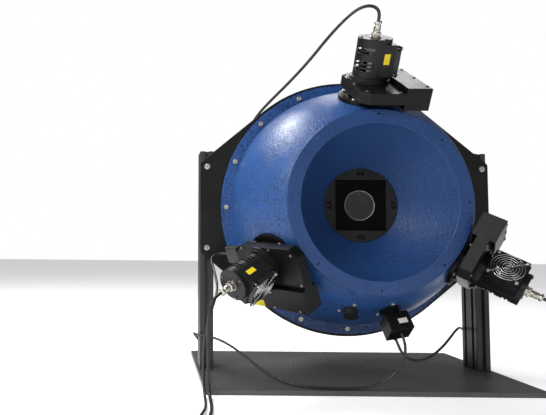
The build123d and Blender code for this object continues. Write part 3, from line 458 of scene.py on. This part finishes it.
def layCord(name):
    diameter, start, rest = leadPoints[name]
    points = start + [Vector(point) * mm for point in rest]
    line = bpy.data.curves.new(name + "_cord", "CURVE")
    line.dimensions = "3D"
    line.bevel_depth = diameter / 2 * mm
    line.bevel_resolution = cordMesh["roundness"]
    line.use_fill_caps = True
    line.resolution_u = cordMesh["steps"]
    spline = line.splines.new("NURBS")
    spline.points.add(len(points) - 1)
    for point, place in zip(spline.points, points):
        point.co = (*place, 1)
    spline.order_u = 3
    spline.use_endpoint_u = True
    line.materials.append(paint["jacket"])
    piece = bpy.data.objects.new(name + "_cord", line)
    bpy.context.scene.collection.objects.link(piece)
    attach(piece, "frame")
    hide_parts(name)
    return piece, points


# the far connector: a ribbed sleeve, a knurled nut and one pin
farPlug = {"length": 32, "ribs": 5, "ribPitch": 2.4, "nutRadius": 5.48, "nutLow": 14.5, "nutTop": 24, "nutTeeth": 20,
           "toothDepth": 0.4, "pinRadius": 2.0, "pinLength": 14, "pinTip": 0.6}


def farConnector(name, points):
    length, nutTop, pinRadius = farPlug["length"], farPlug["nutTop"], farPlug["pinRadius"]
    pinEnd = length + farPlug["pinLength"]
    sleeve = [(0, 0), (3.4, 0)]
    for n in range(farPlug["ribs"]):
        low = 1.0 + n * farPlug["ribPitch"]
        sleeve += [(3.7 + 0.2 * n, low), (3.7 + 0.2 * n, low + 1.4), (3.2 + 0.2 * n, low + 1.5),
                   (3.2 + 0.2 * n, low + 2.3)]
    sleeve += [(5.0, 13.4), (5.0, length - 1), (0, length - 1)]
    nut = knurledCylinder(farPlug["nutRadius"], farPlug["nutLow"], nutTop, farPlug["nutTeeth"], farPlug["toothDepth"])
    nose = spinProfile([(0, nutTop), (5.1, nutTop), (5.1, length - 0.4), (4.7, length), (0, length)], 32)
    pin = spinProfile([(0, length - 1), (pinRadius, length - 1), (pinRadius, pinEnd - farPlug["pinTip"]),
                       (pinRadius - farPlug["pinTip"], pinEnd), (0, pinEnd)], 24)
    along = (points[-1] - points[-2]).normalized()
    place = Matrix.Translation(points[-1]) @ along.to_track_quat("Z", "Y").to_matrix().to_4x4() @ Matrix.Scale(mm, 4)
    boot = makePiece(name + "_boot", moved(spinProfile(sleeve, 32), place), "plastic",
                     smooth=40)
    metal = makePiece(name + "_pin", moved(joined([nut, nose, pin]), place), "nickel",
                      smooth=40)
    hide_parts(name + "_plug")
    return [boot, metal]


def lampConnector(unit):
    # the round metal connector at the end of a lamp housing: nut, body, cable clamp with its screws, socket flange
    low, nutTop, top = lampPlug["low"], lampPlug["nutTop"], lampPlug["top"]
    nut = knurledCylinder(lampPlug["nutRadius"], lampPlug["nutLow"], nutTop, lampPlug["teeth"], lampPlug["toothDepth"])
    lip = spinProfile([(7.9, low), (8.5, low), (8.5, low + 2), (7.9, low + 2)], 40, ring=True)
    body = spinProfile([(0, nutTop), (8.9, nutTop), (8.9, 380), (7.4, 380.6), (6.5, 381.4), (6.5, 384.4), (6.75, 384.8),
                        (6.75, 385.8), (6.5, 386.2), (6.5, 392.4), (5.9, 393.2), (5.9, 394), (0, 394)], 40)
    clamp = spinProfile([(0, 394), (5.4, 394), (5.4, 395.4), (6.9, 396.2), (7.15, 397), (7.15, 399.6), (6.4, 400.8),
                         (4.4, top), (0, top)], 40)
    screws = []
    for side in (-1, 1):
        head = spinProfile([(0, 0), (1.5, 0), (1.5, 0.6), (1.1, 1.0), (0, 1.0)], 16)
        screws.append(moved(head, Matrix.Translation((side * 2.6, -6.3, 398.2)) @ Matrix.Rotation(math.pi / 2, 4, "X")))
    flange = spinProfile([(10.5, 371), (10.85, 371), (10.85, 372.8), (10.5, 373.12), (9.4, 373.12), (9.4, 373.01),
                          (10.5, 373.01)], 40, ring=True)
    whole = joined([nut, lip, body, clamp, flange, *screws])
    piece = makePiece(f"{unit}_lamp_connector", moved(whole, lampFrame(unit)), "nickel",
                      smooth=35)
    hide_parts(f"{unit}_lamp_plug")


for unit in lampUnits:
    lampConnector(unit)
for name in leadPoints:
    cord, points = layCord(name)
    carried = farConnector(name, points)
    leadPoints[name][0] * mm
print("cords laid:", len(leadPoints))


# the fan guards: round wire rings on a diagonal cross, with an eye at each corner screw
guard = {"wire": 0.8, "rings": (28.0, 23.3, 18.6, 13.9, 9.2, 4.5), "reach": 33.2, "corner": 25.0, "fanFront": 43.0,
         "fanCentre": 329.5}


def fanGuard(unit):
    wire = guard["wire"]
    parts = []
    for radius in guard["rings"]:
        shape = bmesh.new()
        bmesh.ops.create_circle(shape, segments=10, radius=wire,
                                matrix=Matrix.Translation((radius, 0, 0)) @ Matrix.Rotation(math.pi / 2, 4, "X"))
        bmesh.ops.spin(shape, geom=shape.verts[:] + shape.edges[:], cent=(0, 0, 0), axis=(0, 0, 1),
                       angle=math.tau, steps=64, use_merge=True)
        bmesh.ops.recalc_face_normals(shape, faces=shape.faces)
        parts.append(shape)
    for turn in (45, 135):
        shape = bmesh.new()
        bmesh.ops.create_cone(shape, cap_ends=True, segments=12, radius1=wire, radius2=wire, depth=guard["reach"] * 2)
        parts.append(moved(shape, Matrix.Rotation(math.radians(turn), 4, "Z") @ Matrix.Rotation(math.pi / 2, 4, "Y")))
    for x in (-1, 1):
        for y in (-1, 1):
            eyeRing = spinProfile([(1.75, -wire), (3.3, -wire), (3.4, 0), (3.3, wire), (1.75, wire)], 24, ring=True)
            parts.append(moved(eyeRing, Matrix.Translation((x * guard["corner"], y * guard["corner"], 0))))
    onFan = Matrix.Translation((guard["fanFront"] + wire, 0, guard["fanCentre"])) @ Matrix.Rotation(math.pi / 2, 4, "Y")
    whole = moved(joined(parts), lampFrame(unit) @ onFan)
    piece = makePiece(f"{unit}_wire_guard", whole, "wire", smooth=50)
    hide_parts(f"{unit}_fan_guard")


for unit in lampUnits:
    fanGuard(unit)
print("fan guards made")


# plain colour patches, in millimetres
patches = {"thickness": 0.16, "bevel": 0.05, "duct": (11, 20), "block": (15, 38)}


def stickOn(name, place, size, finish):
    thick = patches["thickness"]
    shape = bmesh.new()
    bmesh.ops.create_cube(shape, size=1, matrix=Matrix.Translation((0, 0, thick / 2)) @ Matrix.Diagonal(
        (*size, thick, 1)))
    bmesh.ops.bevel(shape, geom=shape.edges[:], offset=patches["bevel"], offset_type="OFFSET", segments=1,
                    profile=0.5, affect="EDGES", material=-1)
    makePiece(name, moved(shape, place), finish)


def faceFrame(place, centre, outward, upward):
    out, up = Vector(outward).normalized(), Vector(upward).normalized()
    turn = Matrix((up.cross(out), up, out)).transposed().to_4x4()
    return place @ Matrix.Translation(centre) @ turn


for unit, side, along, up in (("top", -1, 18, 335), ("left", 1, 12, 341)):
    spot = faceFrame(lampFrame(unit), (along, 31.02 * side, up), (0, side, 0), (0, 0, 1))
    stickOn(f"{unit}_duct_patch", spot, patches["duct"], "yellow")
spot = faceFrame(caseFrame("left"), (80, -30, 297.02), (0, 0, 1), (0, 1, 0))
stickOn("left_block_patch", spot, patches["block"], "yellow")
spot = faceFrame(detectorFrame(), detector["patchPlace"], (0, -1, 0), (0, 0, 1))
stickOn("detector_patch", spot, detector["patchSize"], "pale")
print("patches placed")

# the pale floor, which glows a little, and more where the camera or a reflection sees it
stage = {"halfWidth": 9, "glow": 0.18, "addedGlow": {"Is Camera Ray": 0.3, "Is Glossy Ray": 0.2,
                                                      "Is Transmission Ray": 0.3}}
floorMesh = bmesh.new()
bmesh.ops.create_grid(floorMesh, x_segments=1, y_segments=1, size=stage["halfWidth"])
mesh = bpy.data.meshes.new("floor")
floorMesh.to_mesh(mesh)
floorMesh.free()
floor = bpy.data.objects.new("floor", mesh)
bpy.context.scene.collection.objects.link(floor)
ground = Finish("paleFloor")
mottle = ground.noise(3, 3)
glow = stage["glow"]
for ray, strength in stage["addedGlow"].items():
    glow = ground.add("ShaderNodeLightPath", {}, {}, ray) * strength + glow
ground.paint(Base_Color=ground.blend(mottle, grey(0.90), grey(0.93)), Roughness=0.85, Specular_IOR_Level=0.1,
             Emission_Color=ground.blend(glow, grey(0.0), grey(1.0)), Emission_Strength=1.0)
floor.data.materials.append(ground.material)

lights = {
    "key": {"place": (-2.1, -1.6, 1.9), "aim": (0, -0.1, 0.4), "size": (1.3, 1.0), "power": 52},
    "ceiling": {"place": (-1.1, 0.8, 2.35), "aim": (-0.1, -0.1, 0.45), "size": (1.3, 0.6), "power": 48},
    "back": {"place": (0.6, 1.25, 2.1), "aim": (0, -0.1, 0.55), "size": (1.0, 0.6), "power": 9},
    "fill": {"place": (1.9, -2.0, 1.1), "aim": (0.05, -0.1, 0.35), "size": (1.2, 1.2), "power": 2},
    "front": {"place": (-1.0, -2.55, 1.26), "aim": (0.2, -0.15, 0.26), "size": (0.8, 0.6), "power": 9},
}
for name, light in lights.items():
    lamp = bpy.data.lights.new(name, "AREA")
    lamp.shape = "RECTANGLE"
    lamp.size, lamp.size_y = light["size"]
    lamp.energy = light["power"]
    holder = bpy.data.objects.new(name, lamp)
    holder.location = light["place"]
    away = Vector(light["place"]) - Vector(light["aim"])
    holder.rotation_euler = away.to_track_quat("Z", "Y").to_euler()
    bpy.context.scene.collection.objects.link(holder)

# the surroundings are white to the camera and dim to the object
surroundings = {"onObject": 0.14, "seen": 1.0}
world = bpy.data.worlds.new("studio")
bpy.context.scene.world = world
world.use_nodes = True
sky = world.node_tree
background = sky.nodes["Background"]
rays = sky.nodes.new("ShaderNodeLightPath")
shown = sky.nodes.new("ShaderNodeMath")
shown.operation = "MAXIMUM"
sky.links.new(rays.outputs["Is Camera Ray"], shown.inputs[0])
sky.links.new(rays.outputs["Is Transmission Ray"], shown.inputs[1])
level = sky.nodes.new("ShaderNodeMapRange")
level.inputs["To Min"].default_value = surroundings["onObject"]
level.inputs["To Max"].default_value = surroundings["seen"]
sky.links.new(shown.outputs[0], level.inputs["Value"])
background.inputs["Color"].default_value = (1, 1, 1, 1)
sky.links.new(level.outputs[0], background.inputs["Strength"])
print("stage lit")
